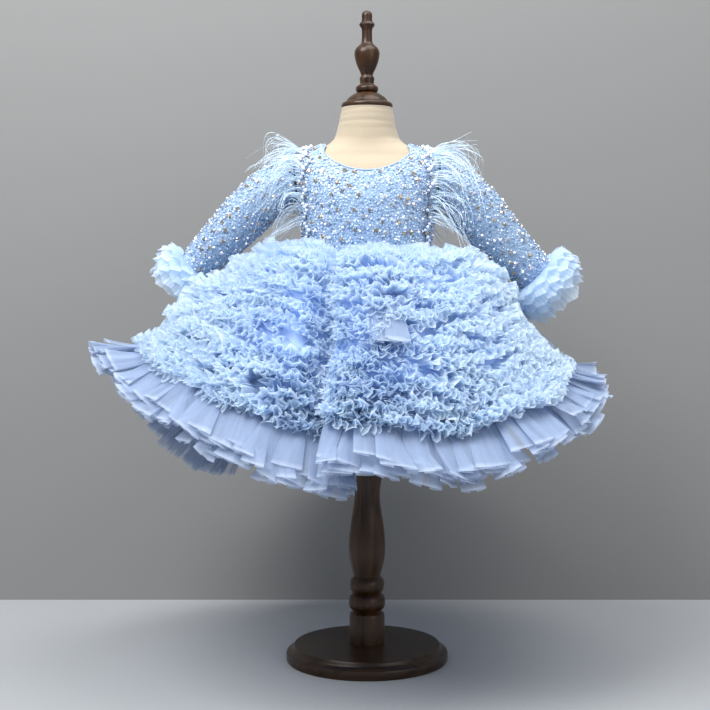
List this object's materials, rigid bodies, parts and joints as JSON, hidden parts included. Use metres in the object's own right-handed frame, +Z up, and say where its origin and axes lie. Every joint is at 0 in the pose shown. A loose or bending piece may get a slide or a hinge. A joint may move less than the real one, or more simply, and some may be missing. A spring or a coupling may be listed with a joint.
{
  "type": "ruffled toddler's dress on a limbless dress form with a turned wooden stand",
  "caption": "Light blue long-sleeved party dress with a sequinned bodice, feather trims, gathered cuffs and a very full ruffled tulle skirt, on a limbless dress form with a turned wooden stand.",
  "frame": {"origin": "centre of the round base's flat underside, where the stand rests", "axes": "+Z up, the dress faces -Y, +X is the wearer's left"},
  "size_m": [0.7985, 0.7861, 1.047],
  "materials": {
    "sequinned_cloth": "small shiny light blue sequins and beads on tulle",
    "tulle": "sheer crisp light blue tulle",
    "feather": "soft pale blue feather barbs",
    "cream_jersey": "smooth matte cream jersey cover",
    "dark_wood": "satin dark brown varnish"
  },
  "bodies": {
    "root": {"bodice_front": "sequinned_cloth", "bodice_back_left": "sequinned_cloth", "bodice_back_right": "sequinned_cloth", "sleeve_left": "sequinned_cloth", "sleeve_right": "sequinned_cloth", "cuff_left_upper_ruffle": "tulle", "cuff_left_lower_ruffle": "tulle", "cuff_right_upper_ruffle": "tulle", "cuff_right_lower_ruffle": "tulle", "skirt_front_left": "tulle", "skirt_front_right": "tulle", "skirt_back_left": "tulle", "skirt_back_right": "tulle", "ruffle_row_1": "tulle", "ruffle_row_2": "tulle", "ruffle_row_3": "tulle", "ruffle_row_4": "tulle", "ruffle_row_5": "tulle", "hem_ruffle_top": "tulle", "hem_ruffle_under": "tulle", "feather_trim_left": "feather", "feather_trim_right": "feather", "dress_form": "cream_jersey", "neck_cap": "dark_wood", "finial": "dark_wood", "stand_pole": "dark_wood", "stand_base": "dark_wood"}
  },
  "joints": []
}
